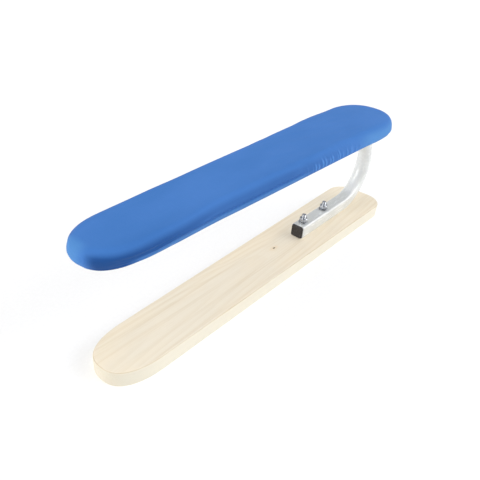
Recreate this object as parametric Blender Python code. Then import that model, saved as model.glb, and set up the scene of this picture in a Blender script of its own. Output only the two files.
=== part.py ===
"""Table-top sleeve ironing board.

A tapered wooden base carries a C-shaped steel arm, and the arm carries a narrower
board padded with foam and dressed in a fitted cloth cover.

Frame: metres, +Z up. The origin is the middle of the footprint on the table. +X runs
along the boards to the end that holds the arm, and Y = 0 is the arm's middle plane.
"""

import math

import bmesh
import bpy
from mathutils import Matrix

GAP = 0.0003  # left between pieces that touch

# Base board: a plank that narrows towards its rounded free end.
BASE_FREE_X = -0.244
BASE_LENGTH = 0.500
BASE_WIDTH_FREE = 0.0625
BASE_WIDTH_ARM = 0.081
BASE_NOSE = 0.054
BASE_NOSE_POWER = 2.5
BASE_CORNER = 0.028
BASE_THICK = 0.018
BASE_OFFSET_Y = 0.003
BASE_EDGE = 0.001

# Padded top, measured over its cloth cover.
TOP_FREE_X = -0.256
TOP_LENGTH = 0.494
TOP_WIDTH_FREE = 0.062
TOP_WIDTH_ARM = 0.092
TOP_NOSE = 0.0465
TOP_NOSE_POWER = 2.4
TOP_TAIL = 0.0585
TOP_TAIL_POWER = 2.15
TOP_THICK = 0.018
TOP_SHOULDER = 0.012
CLOTH = 0.0008
CORE_INSET = 0.005
CORE_THICK = 0.010
CORE_EDGE = 0.005
HEM_INSET = 0.0225
HEM_DROP = 0.0012
ELASTIC_WIDTH = 0.003
ELASTIC_THICK = 0.001

# Arm: a 20 mm steel tube bent into a C, with both legs pressed square.
ARM_FRONT_X = 0.0695
ARM_BEND_X = 0.1803
ARM_BEND_RADIUS = 0.0528
ARM_WALL = 0.0015
ARM_ROUND = 0.010
ARM_SQUARE = 0.009
ARM_SQUARE_CORNER = 0.003
ARM_MORPH = 0.026
ARM_SWELL_DEGREES = 26
ARM_BEND_STEPS = 20
ARM_MORPH_STEPS = 4
CORNER_STEPS = 4

# Plugs that close the tube's ends.
PLUG_FLANGE = 0.0025
PLUG_CORNER = 0.0026
PLUG_STEM = 0.006

# M6 carriage bolts, plain washers and hexagon nuts.
BOLT_X = (0.083, 0.133)
BOLT_RADIUS = 0.003
BOLT_HOLE = 0.0034
BASE_BOLT_LENGTH = 0.045
TOP_BOLT_LENGTH = 0.035
HEAD_RADIUS = 0.008
HEAD_HEIGHT = 0.0034
NECK_HALF = 0.003
NECK_LENGTH = 0.0035
HEAD_RECESS = 0.0040
RECESS_RADIUS = 0.0088
NUT_HALF = 0.005
NUT_THICK = 0.005
WASHER_RADIUS = 0.006
WASHER_THICK = 0.0014
TURN_STEPS = 24

# Heights that follow from the stack.
LOWER_LEG_Z = BASE_THICK + GAP + ARM_SQUARE
UPPER_LEG_Z = LOWER_LEG_Z + 2 * ARM_BEND_RADIUS
CORE_Z = UPPER_LEG_Z + ARM_SQUARE + GAP
COVER_Z = CORE_Z - GAP - CLOTH
COVER_TOP_Z = COVER_Z + TOP_THICK


def clear_scene():
    for old in list(bpy.data.objects):
        bpy.data.objects.remove(old, do_unlink=True)


def linear(value):
    """One sRGB channel, 0 to 255, as a linear value."""
    value /= 255
    if value <= 0.04045:
        return value / 12.92
    return ((value + 0.055) / 1.055) ** 2.4


def make_material(name, rgb, roughness, metallic=0.0):
    material = bpy.data.materials.new(name)
    material.use_nodes = True
    shader = material.node_tree.nodes["Principled BSDF"]
    shader.inputs["Base Color"].default_value = (*[linear(c) for c in rgb], 1.0)
    shader.inputs["Roughness"].default_value = roughness
    shader.inputs["Metallic"].default_value = metallic
    return material


def make_object(name, bm, material, sharp=35):
    bmesh.ops.recalc_face_normals(bm, faces=bm.faces)
    mesh = bpy.data.meshes.new(name)
    bm.to_mesh(mesh)
    bm.free()
    mesh.materials.append(material)
    mesh.shade_smooth()
    mesh.set_sharp_from_angle(angle=math.radians(sharp))
    obj = bpy.data.objects.new(name, mesh)
    bpy.context.scene.collection.objects.link(obj)
    return obj


def loft(rings, capped=True):
    """Skin between rings of equal length, closed at both ends or joined end to start."""
    bm = bmesh.new()
    loops = [[bm.verts.new(point) for point in ring] for ring in rings]
    count = len(loops[0])
    pairs = list(zip(loops, loops[1:]))
    if not capped:
        pairs.append((loops[-1], loops[0]))
    for lower, upper in pairs:
        for i in range(count):
            j = (i + 1) % count
            bm.faces.new((lower[i], lower[j], upper[j], upper[i]))
    if capped:
        bm.faces.new(loops[0])
        bm.faces.new(loops[-1])
    return bm


def signed_power(value, power):
    return math.copysign(abs(value) ** power, value)


def end_angles(steps=18):
    """Angles from one side of an end, round its tip, to the other side."""
    return [math.radians(-90 + 180 * i / steps) for i in range(steps + 1)]


def half_width(along, length, free, arm):
    return (free + (arm - free) * along / length) / 2


def base_ring(inset, z):
    """The base's outline, set in from its edge, at one height."""
    points = []
    for angle in end_angles():
        along = BASE_NOSE - (BASE_NOSE - inset) * abs(math.cos(angle)) ** (2 / BASE_NOSE_POWER)
        half = half_width(along, BASE_LENGTH, BASE_WIDTH_FREE, BASE_WIDTH_ARM) - inset
        points.append((along, -half * signed_power(math.sin(angle), 2 / BASE_NOSE_POWER)))
    for side in (-1, 1):
        for i in range(13):
            angle = math.radians(side * 90 * (12 - i if side < 0 else i) / 12)
            along = BASE_LENGTH - BASE_CORNER + (BASE_CORNER - inset) * math.cos(angle)
            half = half_width(along, BASE_LENGTH, BASE_WIDTH_FREE, BASE_WIDTH_ARM)
            across = side * (half - BASE_CORNER) + (BASE_CORNER - inset) * math.sin(angle)
            points.append((along, across))
    return [(BASE_FREE_X + x, BASE_OFFSET_Y + y, z) for x, y in points]


def top_ring(inset, z):
    """The padded top's outline, set in from the cover's edge, at one height."""
    points = []
    for tip, reach, power, way in (
        (0, TOP_NOSE, TOP_NOSE_POWER, 1),
        (TOP_LENGTH, TOP_TAIL, TOP_TAIL_POWER, -1),
    ):
        for angle in end_angles():
            along = tip + way * (reach - (reach - inset) * abs(math.cos(angle)) ** (2 / power))
            half = half_width(along, TOP_LENGTH, TOP_WIDTH_FREE, TOP_WIDTH_ARM) - inset
            points.append((along, -way * half * signed_power(math.sin(angle), 2 / power)))
    return [(TOP_FREE_X + x, y, z) for x, y in points]


def shoulder(inset, top, radius, steps=4):
    """Insets and heights round an upper edge, from the side to the top."""
    profile = []
    for i in range(steps + 1):
        angle = math.radians(90 * i / steps)
        profile.append((inset + radius * (1 - math.cos(angle)), top - radius * (1 - math.sin(angle))))
    return profile


def rounded_square(half, corner, steps=CORNER_STEPS):
    """Points round a square with round corners."""
    points = []
    for quarter in range(4):
        for i in range(steps + 1):
            angle = math.radians(90 * quarter + 90 * i / steps)
            centre_u = math.copysign(half - corner, math.cos(math.radians(90 * quarter + 45)))
            centre_v = math.copysign(half - corner, math.sin(math.radians(90 * quarter + 45)))
            points.append((centre_u + corner * math.cos(angle), centre_v + corner * math.sin(angle)))
    return points


def circle(radius):
    return lambda angle: radius


def square(half):
    return lambda angle: half / max(abs(math.cos(angle)), abs(math.sin(angle)))


def hexagon(half):
    sixth = math.pi / 3
    return lambda angle: half / math.cos((angle + sixth / 2) % sixth - sixth / 2)


def turned_ring(shape, z):
    """A ring about Z whose radius at each angle comes from shape."""
    ring = []
    for i in range(TURN_STEPS):
        angle = 2 * math.pi * i / TURN_STEPS
        radius = shape(angle)
        ring.append((radius * math.cos(angle), radius * math.sin(angle), z))
    return ring


def cut(target, cutter_bm, name):
    """Take a hidden cutter out of an object."""
    bmesh.ops.recalc_face_normals(cutter_bm, faces=cutter_bm.faces)
    mesh = bpy.data.meshes.new(name)
    cutter_bm.to_mesh(mesh)
    cutter_bm.free()
    cutter = bpy.data.objects.new(name, mesh)
    bpy.context.scene.collection.objects.link(cutter)
    cutter.hide_render = True
    cutter.display_type = "WIRE"
    modifier = target.modifiers.new(name, "BOOLEAN")
    modifier.object = cutter
    modifier.operation = "DIFFERENCE"
    modifier.solver = "EXACT"


def stepped_cutter(x, steps):
    """A cutter about a vertical line at x, from (shape, low z, high z) steps joined end to end."""
    rings = []
    for shape, low, high in steps:
        rings.append([(x + px, py, pz) for px, py, pz in turned_ring(shape, low)])
        rings.append([(x + px, py, pz) for px, py, pz in turned_ring(shape, high)])
    return loft(rings)


def make_base_board(material):
    rings = [
        base_ring(BASE_EDGE, 0),
        base_ring(0, BASE_EDGE),
        base_ring(0, BASE_THICK - BASE_EDGE),
        base_ring(BASE_EDGE, BASE_THICK),
    ]
    board = make_object("base_board", loft(rings), material)
    neck_end = HEAD_RECESS + NECK_LENGTH + GAP
    for x, place in zip(BOLT_X, ("front", "rear")):
        steps = (
            (circle(RECESS_RADIUS), -0.01, HEAD_RECESS),
            (square(NECK_HALF + GAP), HEAD_RECESS, neck_end),
            (circle(BOLT_HOLE), neck_end, BASE_THICK + 0.01),
        )
        cut(board, stepped_cutter(x, steps), f"base_hole_{place}")


def make_top_board(material):
    profile = [(CORE_INSET + 0.001, CORE_Z), (CORE_INSET, CORE_Z + 0.001)]
    profile += shoulder(CORE_INSET, CORE_Z + CORE_THICK, CORE_EDGE)
    board = make_object("top_board", loft([top_ring(*p) for p in profile]), material)
    seat = CORE_Z + CORE_THICK - HEAD_RECESS
    neck_end = seat - NECK_LENGTH - GAP
    for x, place in zip(BOLT_X, ("front", "rear")):
        steps = (
            (circle(BOLT_HOLE), CORE_Z - 0.01, neck_end),
            (square(NECK_HALF + GAP), neck_end, seat),
            (circle(RECESS_RADIUS), seat, CORE_Z + CORE_THICK + 0.01),
        )
        cut(board, stepped_cutter(x, steps), f"top_hole_{place}")


def make_foam_pad(material):
    """A pad that covers the core's top and wraps down over its sides."""
    outside = CLOTH + GAP
    foot = CORE_Z + 0.001
    outer = [(outside + 0.001, foot), (outside, foot + 0.002)]
    outer += shoulder(outside, COVER_TOP_Z - outside, TOP_SHOULDER - outside)
    inside = CORE_INSET - GAP
    inner = [(inside, foot)]
    inner += shoulder(inside, CORE_Z + CORE_THICK + GAP, CORE_EDGE + GAP)
    profile = outer[::-1] + inner
    make_object("foam_pad", loft([top_ring(*p) for p in profile]), material)


def make_fabric_cover(material):
    """A thin cloth shell that wraps under the board and stops at an open hem."""
    outer = [
        (HEM_INSET, COVER_Z - HEM_DROP),
        (HEM_INSET - 0.006, COVER_Z - HEM_DROP),
        (HEM_INSET - 0.011, COVER_Z),
        (0.003, COVER_Z),
        (0.001, COVER_Z + 0.0008),
        (0.0, COVER_Z + 0.003),
    ]
    outer += shoulder(0.0, COVER_TOP_Z, TOP_SHOULDER)
    inner = [
        (HEM_INSET, COVER_Z - HEM_DROP + CLOTH),
        (HEM_INSET - 0.006, COVER_Z - HEM_DROP + CLOTH),
        (HEM_INSET - 0.011, COVER_Z + CLOTH),
        (0.003, COVER_Z + CLOTH),
        (0.001 + CLOTH, COVER_Z + 0.001 + CLOTH),
        (CLOTH, COVER_Z + 0.003),
    ]
    inner += shoulder(CLOTH, COVER_TOP_Z - CLOTH, TOP_SHOULDER - CLOTH)
    profile = outer[::-1] + inner
    make_object("fabric_cover", loft([top_ring(*p) for p in profile]), material)


def make_hem_elastic(material):
    """An elastic band that lies on the hem, between the cloth and the board."""
    low = COVER_Z - HEM_DROP + CLOTH + GAP
    high = low + ELASTIC_THICK - 0.0001
    near = HEM_INSET - 0.001
    far = near - ELASTIC_WIDTH
    profile = [(near, low), (far, low), (far, high), (near, high)]
    make_object("hem_elastic", loft([top_ring(*p) for p in profile], capped=False), material)


def ease(part):
    """A smooth climb from 0 to 1."""
    part = min(max(part, 0.0), 1.0)
    return part * part * (3 - 2 * part)


def arm_stations():
    """(x, z, heading, half, corner) from the lower leg's end round to the upper leg's.

    The square's corners open into a circle just before the bend, and the tube swells
    to its full diameter in the first part of the bend, where it has left the board.
    """
    lower = [(ARM_FRONT_X + PLUG_FLANGE + GAP, ARM_SQUARE_CORNER)]
    for i in range(ARM_MORPH_STEPS):
        part = i / ARM_MORPH_STEPS
        corner = ARM_SQUARE_CORNER + (ARM_SQUARE - GAP - ARM_SQUARE_CORNER) * ease(part)
        lower.append((ARM_BEND_X - ARM_MORPH * (1 - part), corner))
    stations = [(x, LOWER_LEG_Z, 0.0, ARM_SQUARE, corner) for x, corner in lower]
    for i in range(ARM_BEND_STEPS + 1):
        angle = math.pi * i / ARM_BEND_STEPS
        x = ARM_BEND_X + ARM_BEND_RADIUS * math.sin(angle)
        z = LOWER_LEG_Z + ARM_BEND_RADIUS * (1 - math.cos(angle))
        into_bend = min(math.degrees(angle), 180 - math.degrees(angle))
        half = ARM_SQUARE + (ARM_ROUND - ARM_SQUARE) * ease(into_bend / ARM_SWELL_DEGREES)
        stations.append((x, z, angle, half, half - GAP))
    stations += [(x, UPPER_LEG_Z, math.pi, ARM_SQUARE, corner) for x, corner in reversed(lower)]
    return stations


def arm_ring(x, z, heading, half, corner, wall):
    """The tube's section across its line."""
    ring = []
    for across, lift in rounded_square(half - wall, corner - wall):
        ring.append((x - lift * math.sin(heading), across, z + lift * math.cos(heading)))
    return ring


def make_arm_tube(material):
    stations = arm_stations()
    outer = [arm_ring(*station, 0.0) for station in stations]
    inner = [arm_ring(*station, ARM_WALL) for station in stations]
    tube = make_object("arm_tube", loft(outer + inner[::-1], capped=False), material)
    reach = ARM_SQUARE + 0.003
    for x, place in zip(BOLT_X, ("front", "rear")):
        for height, leg in ((LOWER_LEG_Z, "lower"), (UPPER_LEG_Z, "upper")):
            steps = ((circle(BOLT_HOLE), height - reach, height + reach),)
            cut(tube, stepped_cutter(x, steps), f"{leg}_leg_hole_{place}")


def plug_bm():
    """A plug along +X: a flange with a soft front edge, and a stem that fits the tube."""
    stem = ARM_SQUARE - ARM_WALL - GAP
    soft = 0.0006
    stations = (
        (0.0, ARM_SQUARE - soft, PLUG_CORNER - soft),
        (soft, ARM_SQUARE, PLUG_CORNER),
        (PLUG_FLANGE, ARM_SQUARE, PLUG_CORNER),
        (PLUG_FLANGE, stem, ARM_SQUARE_CORNER - ARM_WALL),
        (PLUG_FLANGE + PLUG_STEM - 0.001, stem, ARM_SQUARE_CORNER - ARM_WALL),
        (PLUG_FLANGE + PLUG_STEM, stem - 0.0008, ARM_SQUARE_CORNER - ARM_WALL),
    )
    rings = []
    for x, half, corner in stations:
        rings.append([(x, across, lift) for across, lift in rounded_square(half, corner)])
    return loft(rings)


def make_plugs(material):
    for name, height in (("lower_end_plug", LOWER_LEG_Z), ("upper_end_plug", UPPER_LEG_Z)):
        plug = make_object(name, plug_bm(), material)
        plug.location = (ARM_FRONT_X, 0, height)


def bolt_bm(length):
    """A carriage bolt whose head sits below z = 0 and whose shank points up."""
    rings = []
    dome = 4
    for i in range(1, dome + 1):
        angle = math.radians(90 * i / dome)
        z = -HEAD_HEIGHT * (0.25 + 0.75 * math.cos(angle))
        rings.append(turned_ring(circle(HEAD_RADIUS * math.sin(angle)), z))
    rings.append(turned_ring(circle(HEAD_RADIUS), 0))
    rings.append(turned_ring(square(NECK_HALF), 0))
    rings.append(turned_ring(square(NECK_HALF), NECK_LENGTH))
    rings.append(turned_ring(circle(BOLT_RADIUS - 0.0001), NECK_LENGTH))
    rings.append(turned_ring(circle(BOLT_RADIUS - 0.0001), length - 0.001))
    rings.append(turned_ring(circle(BOLT_RADIUS - 0.0009), length))
    return loft(rings)


def nut_bm():
    """A hexagon nut on z = 0, with its corners turned off at both faces."""
    bore = circle(BOLT_RADIUS + GAP)
    face = circle(NUT_HALF * 0.96)
    soft = 0.0007
    rings = [
        turned_ring(bore, 0),
        turned_ring(face, 0),
        turned_ring(hexagon(NUT_HALF), soft),
        turned_ring(hexagon(NUT_HALF), NUT_THICK - soft),
        turned_ring(face, NUT_THICK),
        turned_ring(bore, NUT_THICK),
    ]
    return loft(rings, capped=False)


def washer_bm():
    bore = circle(BOLT_HOLE)
    rim = circle(WASHER_RADIUS)
    rings = [
        turned_ring(bore, 0),
        turned_ring(rim, 0),
        turned_ring(rim, WASHER_THICK),
        turned_ring(bore, WASHER_THICK),
    ]
    return loft(rings, capped=False)


def place_fastener(name, bm, material, x, z, upside_down):
    piece = make_object(name, bm, material)
    piece.location = (x, 0, z)
    if upside_down:
        piece.rotation_euler = (math.pi, 0, 0)


def make_fasteners(material):
    """Each leg is held by two bolts, each with a washer and a nut on the leg's inner side."""
    levels = (
        ("base", HEAD_RECESS - GAP, LOWER_LEG_Z + ARM_SQUARE, BASE_BOLT_LENGTH, 1),
        ("top", CORE_Z + CORE_THICK - HEAD_RECESS + GAP, UPPER_LEG_Z - ARM_SQUARE, TOP_BOLT_LENGTH, -1),
    )
    for level, seat, leg_face, length, way in levels:
        for x, place in zip(BOLT_X, ("front", "rear")):
            washer_z = leg_face + way * GAP
            nut_z = washer_z + way * (WASHER_THICK + GAP)
            flipped = way < 0
            place_fastener(f"{level}_bolt_{place}", bolt_bm(length), material, x, seat, flipped)
            place_fastener(f"{level}_washer_{place}", washer_bm(), material, x, washer_z, flipped)
            place_fastener(f"{level}_nut_{place}", nut_bm(), material, x, nut_z, flipped)


def main():
    clear_scene()
    make_base_board(make_material("pale_pine", (238, 227, 207), 0.55))
    make_top_board(make_material("plywood_core", (222, 200, 165), 0.65))
    make_foam_pad(make_material("foam", (236, 232, 214), 0.9))
    make_fabric_cover(make_material("blue_cotton", (78, 130, 200), 0.8))
    make_hem_elastic(make_material("white_elastic", (232, 232, 230), 0.85))
    make_arm_tube(make_material("grey_paint", (214, 219, 222), 0.35))
    make_plugs(make_material("black_plastic", (32, 30, 30), 0.5))
    make_fasteners(make_material("zinc_plate", (196, 198, 200), 0.3, 1.0))


main()
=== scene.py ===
import math

import bmesh
import bpy
import numpy as np
from mathutils import Matrix, Vector, noise


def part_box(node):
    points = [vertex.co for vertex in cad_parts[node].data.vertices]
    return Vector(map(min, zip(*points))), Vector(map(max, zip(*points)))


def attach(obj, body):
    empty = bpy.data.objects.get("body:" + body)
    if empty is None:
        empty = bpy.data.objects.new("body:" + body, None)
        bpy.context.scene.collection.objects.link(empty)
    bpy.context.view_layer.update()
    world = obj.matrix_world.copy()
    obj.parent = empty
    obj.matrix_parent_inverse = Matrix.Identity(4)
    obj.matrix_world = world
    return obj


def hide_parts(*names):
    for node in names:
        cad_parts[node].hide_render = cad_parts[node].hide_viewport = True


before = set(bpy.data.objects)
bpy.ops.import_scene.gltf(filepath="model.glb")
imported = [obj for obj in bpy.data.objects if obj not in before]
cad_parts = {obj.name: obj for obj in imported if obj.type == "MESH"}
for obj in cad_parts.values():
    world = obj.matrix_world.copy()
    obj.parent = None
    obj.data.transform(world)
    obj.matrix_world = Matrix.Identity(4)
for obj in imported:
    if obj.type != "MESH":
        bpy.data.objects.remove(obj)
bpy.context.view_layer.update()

# Driving dimensions that boxes alone don't give, in metres. They match the design.
BASE_WIDTHS = (0.0625, 0.081)  # at the free end and at the arm end, if the sides ran on
BASE_NOSE = (0.054, 2.5)  # length and power of the round end
BASE_CORNER = 0.028
TOP_WIDTHS = (0.062, 0.092)
TOP_NOSE = (0.0465, 2.4)
TOP_TAIL = (0.0585, 2.15)
SHOULDER = 0.012
HEM_INSET = 0.0225
CLOTH = 0.0006
BEND_X = 0.1803
BEND_RADIUS = 0.0528
OPENING_ANGLE = math.radians(62)  # how far into the bend the square tube is round
WALL = 0.0015
LEG_HALF = 0.009
BOLT_RADIUS = 0.003
BOLT_HOLE = 0.0034
HEAD_HEIGHT = 0.0034
HEAD_RECESS = 0.0088  # radius
NECK_RECESS = (0.0044, 0.0038)  # radius and depth
CLEAR = 0.012  # how far a cutter reaches past what it cuts
CUT_SHARP = 40  # degrees
PLUG_FACE = (  # distance behind the front, inset from the rim, corner radius
    (0.00035, 0.0034, 0.0010), (0.00035, 0.0028, 0.0012), (0.00005, 0.0022, 0.0014),
    (0.0, 0.0016, 0.0018), (0.00012, 0.0009, 0.0021), (0.0004, 0.0004, 0.0024),
    (0.0009, 0.0001, 0.0026), (0.0014, 0.0, 0.0027),
)

BASE_LOW, BASE_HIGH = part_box("base_board")
COVER_LOW, COVER_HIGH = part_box("fabric_cover")
CORE_LOW, CORE_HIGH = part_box("top_board")
TUBE_LOW, TUBE_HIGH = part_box("arm_tube")
BASE_MIDDLE_Y = (BASE_LOW.y + BASE_HIGH.y) / 2
ROUND_HALF = (TUBE_HIGH.y - TUBE_LOW.y) / 2
LOWER_LEG_Z = TUBE_LOW.z + LEG_HALF
UPPER_LEG_Z = TUBE_HIGH.z - LEG_HALF

# The cover: heights, insets, the hem's section and the gathers, in metres.
COVER_FLOOR = CORE_LOW.z - 0.0011
CREASE_Z = COVER_FLOOR + 0.0074
STITCH_INSET = HEM_INSET - 0.0060
HEM_SECTION = (  # inset from the stitches and drop below the cover's floor
    (-0.0004, 0.0), (0.0004, 0.0006), (0.0016, 0.00075),
    (0.0035, 0.0009), (0.0052, 0.0008), (0.0060, 0.0004),
)
PLEAT_ROWS = (  # side of the board, first and last x, spacing and greatest height
    (-1, 0.008, 0.116, 0.0072, 0.0013),
    (1, -0.03, 0.10, 0.0125, 0.0008),
)
RUFFLE_PITCH = 0.0088
END_STEPS = 40
SIDE_STEPS = 230

# The simulation: Cloth's settings, its frames, and the most that a point may move.
CLOTH_SETTINGS = {
    "quality": 5,
    "mass": 0.12,
    "tension_stiffness": 12.0,
    "compression_stiffness": 12.0,
    "shear_stiffness": 4.0,
    "bending_stiffness": 0.4,
    "air_damping": 1.0,
    "use_pressure": True,
    "uniform_pressure_force": 4.0,
    "vertex_group_mass": "held",
}
SIM_FRAMES = 20
COVER_CAP = 0.0011
FOAM_CAP = 0.0009

# Scales of the materials, and the world's open side.
RINGS_PER_METRE = 330.0
KNOT = (0.0291, 0.0054)
KNOT_STRETCH = (0.45, 1, 0.15)
PLY_PITCH = 0.0028
THREAD_PITCH = 0.00075
TWIST_RATE = 9000.0  # radians a metre
BRAID_RATE = 5200.0
CREST = "crest"  # mesh attribute: how near a point is to the crest of a gather
OPEN_SIDE = (-0.78, -0.585, 0.22)


# ---- mesh helpers


def linked(name, data):
    """A new object, in the scene."""
    obj = bpy.data.objects.new(name, data)
    bpy.context.scene.collection.objects.link(obj)
    return obj


def new_object(name, bm, material, sharp=None):
    mesh = bpy.data.meshes.new(name)
    bm.to_mesh(mesh)
    bm.free()
    mesh.materials.append(material)
    mesh.shade_smooth()
    if sharp is not None:
        mesh.set_sharp_from_angle(angle=math.radians(sharp))
    return linked(name, mesh)


def crosswise(loop):
    """A flat outline as strips from side to side, with a triangle at each tip."""
    half = len(loop) // 2
    faces = [(loop[0], loop[1], loop[-1])]
    for i in range(1, half - 1):
        faces.append((loop[i], loop[i + 1], loop[-i - 1], loop[-i]))
    return faces + [(loop[half - 1], loop[half], loop[half + 1])]


def skin(rings, joined=False, strips=False, bm=None):
    """Quads between rings of equal length, added to bm or to a new mesh.

    Two flat faces close the shape, unless its last ring is joined to its first. With strips,
    each flat face is made of strips across the shape.
    """
    bm = bmesh.new() if bm is None else bm
    loops = [[bm.verts.new(p) for p in ring] for ring in rings]
    pairs = list(zip(loops, loops[1:]))
    if joined:
        pairs.append((loops[-1], loops[0]))
    outlines = []
    for low, high in pairs:
        for i in range(len(low)):
            j = (i + 1) % len(low)
            outlines.append((low[i], low[j], high[j], high[i]))
    if not joined:
        for loop in (loops[0], loops[-1]):
            outlines += crosswise(loop) if strips else [loop]
    faces = [bm.faces.new(corners) for corners in outlines]
    bmesh.ops.recalc_face_normals(bm, faces=faces)
    return bm


def vertex_arrays(mesh):
    """The mesh's vertices and their normals, a row for each."""
    points = np.empty(len(mesh.vertices) * 3)
    normals = np.empty(len(mesh.vertices) * 3)
    mesh.vertices.foreach_get("co", points)
    mesh.vertices.foreach_get("normal", normals)
    return points.reshape(-1, 3), normals.reshape(-1, 3)


def move_vertices(mesh, points):
    mesh.vertices.foreach_set("co", points.ravel())
    mesh.update()


def baked(obj):
    """Leave the object's mesh as its modifiers make it, with the modifiers gone."""
    bpy.context.view_layer.update()
    shown = obj.evaluated_get(bpy.context.evaluated_depsgraph_get())
    mesh = bpy.data.meshes.new_from_object(shown)
    old = obj.data
    obj.modifiers.clear()
    obj.data = mesh
    bpy.data.meshes.remove(old)


def drill(obj, cutter_meshes):
    """Cut closed shapes out of an object and keep only the result."""
    cutters = []
    for bm in cutter_meshes:
        mesh = bpy.data.meshes.new("cutter")
        bm.to_mesh(mesh)
        bm.free()
        cutters.append(linked("cutter", mesh))
        modifier = obj.modifiers.new("hole", "BOOLEAN")
        modifier.object = cutters[-1]
        modifier.operation = "DIFFERENCE"
        modifier.solver = "EXACT"
    baked(obj)
    obj.data.set_sharp_from_angle(angle=math.radians(CUT_SHARP))
    for cutter in cutters:
        bpy.data.objects.remove(cutter, do_unlink=True)


def seat(obj, slot, *nodes):
    """A finished piece: it rides with the one body and stands for CAD nodes; slot, the finish's
    name, is not used.
    """
    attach(obj, "root")
    if nodes:
        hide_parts(*nodes)
    return obj


def signed_power(value, power):
    return math.copysign(abs(value) ** power, value)


def sweep(steps, end=math.pi / 2):
    """Angles from 0 to end, both of them counted."""
    return [end * i / steps for i in range(steps + 1)]


def turned(profile, shape=None, steps=48):
    """Rings about Z from (radius, z) pairs; shape(angle, radius, z) may change a radius."""
    rings = []
    for radius, z in profile:
        ring = []
        for angle in sweep(steps, 2 * math.pi)[:-1]:
            r = shape(angle, radius, z) if shape else radius
            ring.append(Vector((r * math.cos(angle), r * math.sin(angle), z)))
        rings.append(ring)
    return rings


def moved(rings, x, z, flipped=False):
    turn = Matrix.Rotation(math.pi, 4, "X") if flipped else Matrix.Identity(4)
    place = Matrix.Translation((x, 0, z)) @ turn
    return [[place @ p for p in ring] for ring in rings]


# ---- material helper


def linear(value):
    value /= 255
    return value / 12.92 if value <= 0.04045 else ((value + 0.055) / 1.055) ** 2.4


def rgb(red, green, blue):
    """An sRGB colour, 0 to 255, as the linear one that shaders take."""
    return (linear(red), linear(green), linear(blue), 1.0)


class Nodes:
    """A node tree, built a node at a time."""

    def __init__(self, tree):
        self.tree = tree

    def add(self, kind, inputs=None, **settings):
        node = self.tree.nodes.new(kind)
        for key, value in settings.items():
            setattr(node, key, value)
        for key, value in (inputs or {}).items():
            self.put(node.inputs[key], value)
        return node

    def put(self, socket, value):
        """Link a socket to the input, or set the input to a value."""
        if isinstance(value, bpy.types.NodeSocket):
            self.tree.links.new(value, socket)
        else:
            socket.default_value = value

    def math(self, operation, *values):
        node = self.add("ShaderNodeMath", dict(enumerate(values)), operation=operation)
        return node.outputs[0]

    def times(self, first, *others):
        """The product of sockets and numbers."""
        for other in others:
            first = self.math("MULTIPLY", first, other)
        return first

    def plus(self, first, *others):
        """The sum of sockets and numbers."""
        for other in others:
            first = self.math("ADD", first, other)
        return first

    def less(self, value):
        """What the value leaves of 1."""
        return self.math("SUBTRACT", 1.0, value)

    def wave(self, along, rate):
        """A sine wave, -1 to 1, whose phase grows by rate radians in a metre."""
        return self.math("SINE", self.times(along, rate))

    def spread(self, value, low, high, to_low=0.0, to_high=1.0):
        """The value eased from to_low at low up to to_high at high; low may be the greater."""
        ends = {"From Min": low, "From Max": high, "To Min": to_low, "To Max": to_high}
        inputs = {"Value": value, **ends}
        node = self.add("ShaderNodeMapRange", inputs, interpolation_type="SMOOTHSTEP")
        return node.outputs["Result"]


class Look(Nodes):
    """A material in object coordinates."""

    def __init__(self, name, **constants):
        self.material = bpy.data.materials.new(name)
        self.material.use_nodes = True
        super().__init__(self.material.node_tree)
        self.shader = self.tree.nodes["Principled BSDF"]
        self.place = self.add("ShaderNodeTexCoord").outputs["Object"]
        self.finish(**constants)

    def scaled(self, scale):
        node = self.add("ShaderNodeMapping", {"Vector": self.place, "Scale": scale})
        return node.outputs["Vector"]

    def noise(self, scale, detail=2.0, roughness=0.5, distortion=0.0):
        """Noise in object space, its scale in 1/m: one number, or one for each axis."""
        vector = self.place
        if isinstance(scale, tuple):
            vector, scale = self.scaled(scale), 1.0
        inputs = {"Vector": vector, "Scale": scale, "Detail": detail}
        inputs.update({"Roughness": roughness, "Distortion": distortion})
        return self.add("ShaderNodeTexNoise", inputs).outputs["Fac"]

    def layers(self, colour, *coats):
        """A colour under coats, each of them a factor and the colour that it lays on."""
        for factor, coat in coats:
            node = self.add("ShaderNodeMix", data_type="RGBA")
            for key, value in (("Factor", factor), ("A", colour), ("B", coat)):
                self.put(node.inputs[key], value)
            colour = node.outputs["Result"]
        return colour

    def bump(self, height, distance, strength=1.0, onto=None):
        inputs = {"Height": height, "Distance": distance, "Strength": strength}
        if onto is not None:
            inputs["Normal"] = onto
        return self.add("ShaderNodeBump", inputs).outputs["Normal"]

    def split(self, vector):
        return self.add("ShaderNodeSeparateXYZ", {"Vector": vector}).outputs

    def normal(self):
        return self.split(self.add("ShaderNodeNewGeometry").outputs["Normal"])

    def finish(self, **inputs):
        """Set or link the shader's inputs, an underscore standing for a space in their names."""
        for socket, value in inputs.items():
            self.put(self.shader.inputs[socket.replace("_", " ")], value)
        return self.material


# ---- materials


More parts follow.
